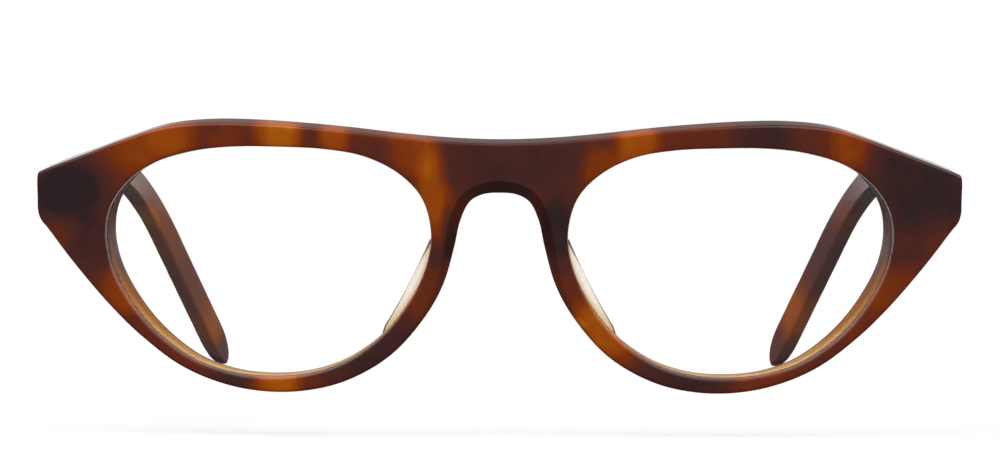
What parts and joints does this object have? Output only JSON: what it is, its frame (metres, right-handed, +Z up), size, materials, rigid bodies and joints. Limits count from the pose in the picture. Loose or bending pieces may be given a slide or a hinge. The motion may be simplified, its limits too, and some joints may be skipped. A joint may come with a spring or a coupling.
{
  "type": "oval eyeglasses",
  "caption": "Oval eyeglasses in dark tortoiseshell acetate, with clear lenses, bonded nose pads and temples that fold on screwed metal hinges.",
  "frame": {"origin": "on the table plane, under the middle of the glasses' bounding box, with the temples open", "axes": "+X towards the wearer's left seen from the front, as the right-hand side of the picture; +Y from the front back along the temples; +Z up"},
  "size_m": [0.1394, 0.146, 0.0411],
  "materials": {
    "tortoise_acetate": "polished cellulose acetate, dark brown with soft amber patches",
    "pad_acetate": "polished pale honey acetate",
    "clear_lens": "clear, polished on both faces",
    "hinge_metal": "plated nickel silver, satin",
    "screw_steel": "bright turned steel",
    "wire_metal": "drawn wire, plain"
  },
  "bodies": {
    "front": {"front": "tortoise_acetate", "lens_left": "clear_lens", "nose_pad_left": "pad_acetate", "front_hinge_leaf_left": "hinge_metal", "hinge_screw_left": "screw_steel", "lens_right": "clear_lens", "nose_pad_right": "pad_acetate", "front_hinge_leaf_right": "hinge_metal", "hinge_screw_right": "screw_steel"},
    "temple_left": {"temple_left": "tortoise_acetate", "temple_hinge_leaf_left": "hinge_metal", "core_wire_left": "wire_metal"},
    "temple_right": {"temple_right": "tortoise_acetate", "temple_hinge_leaf_right": "hinge_metal", "core_wire_right": "wire_metal"}
  },
  "joints": [
    {"name": "temple_fold_left", "type": "hinge", "parent": "front", "child": "temple_left", "pos_m": [-0.06327, -0.05639, 0.03078], "axis": [0, 0.0502, -0.9987], "range_deg": [0, 85.5]},
    {"name": "temple_fold_right", "type": "hinge", "parent": "front", "child": "temple_right", "pos_m": [0.06327, -0.05639, 0.03078], "axis": [0, -0.0502, 0.9987], "range_deg": [0, 73]}
  ]
}
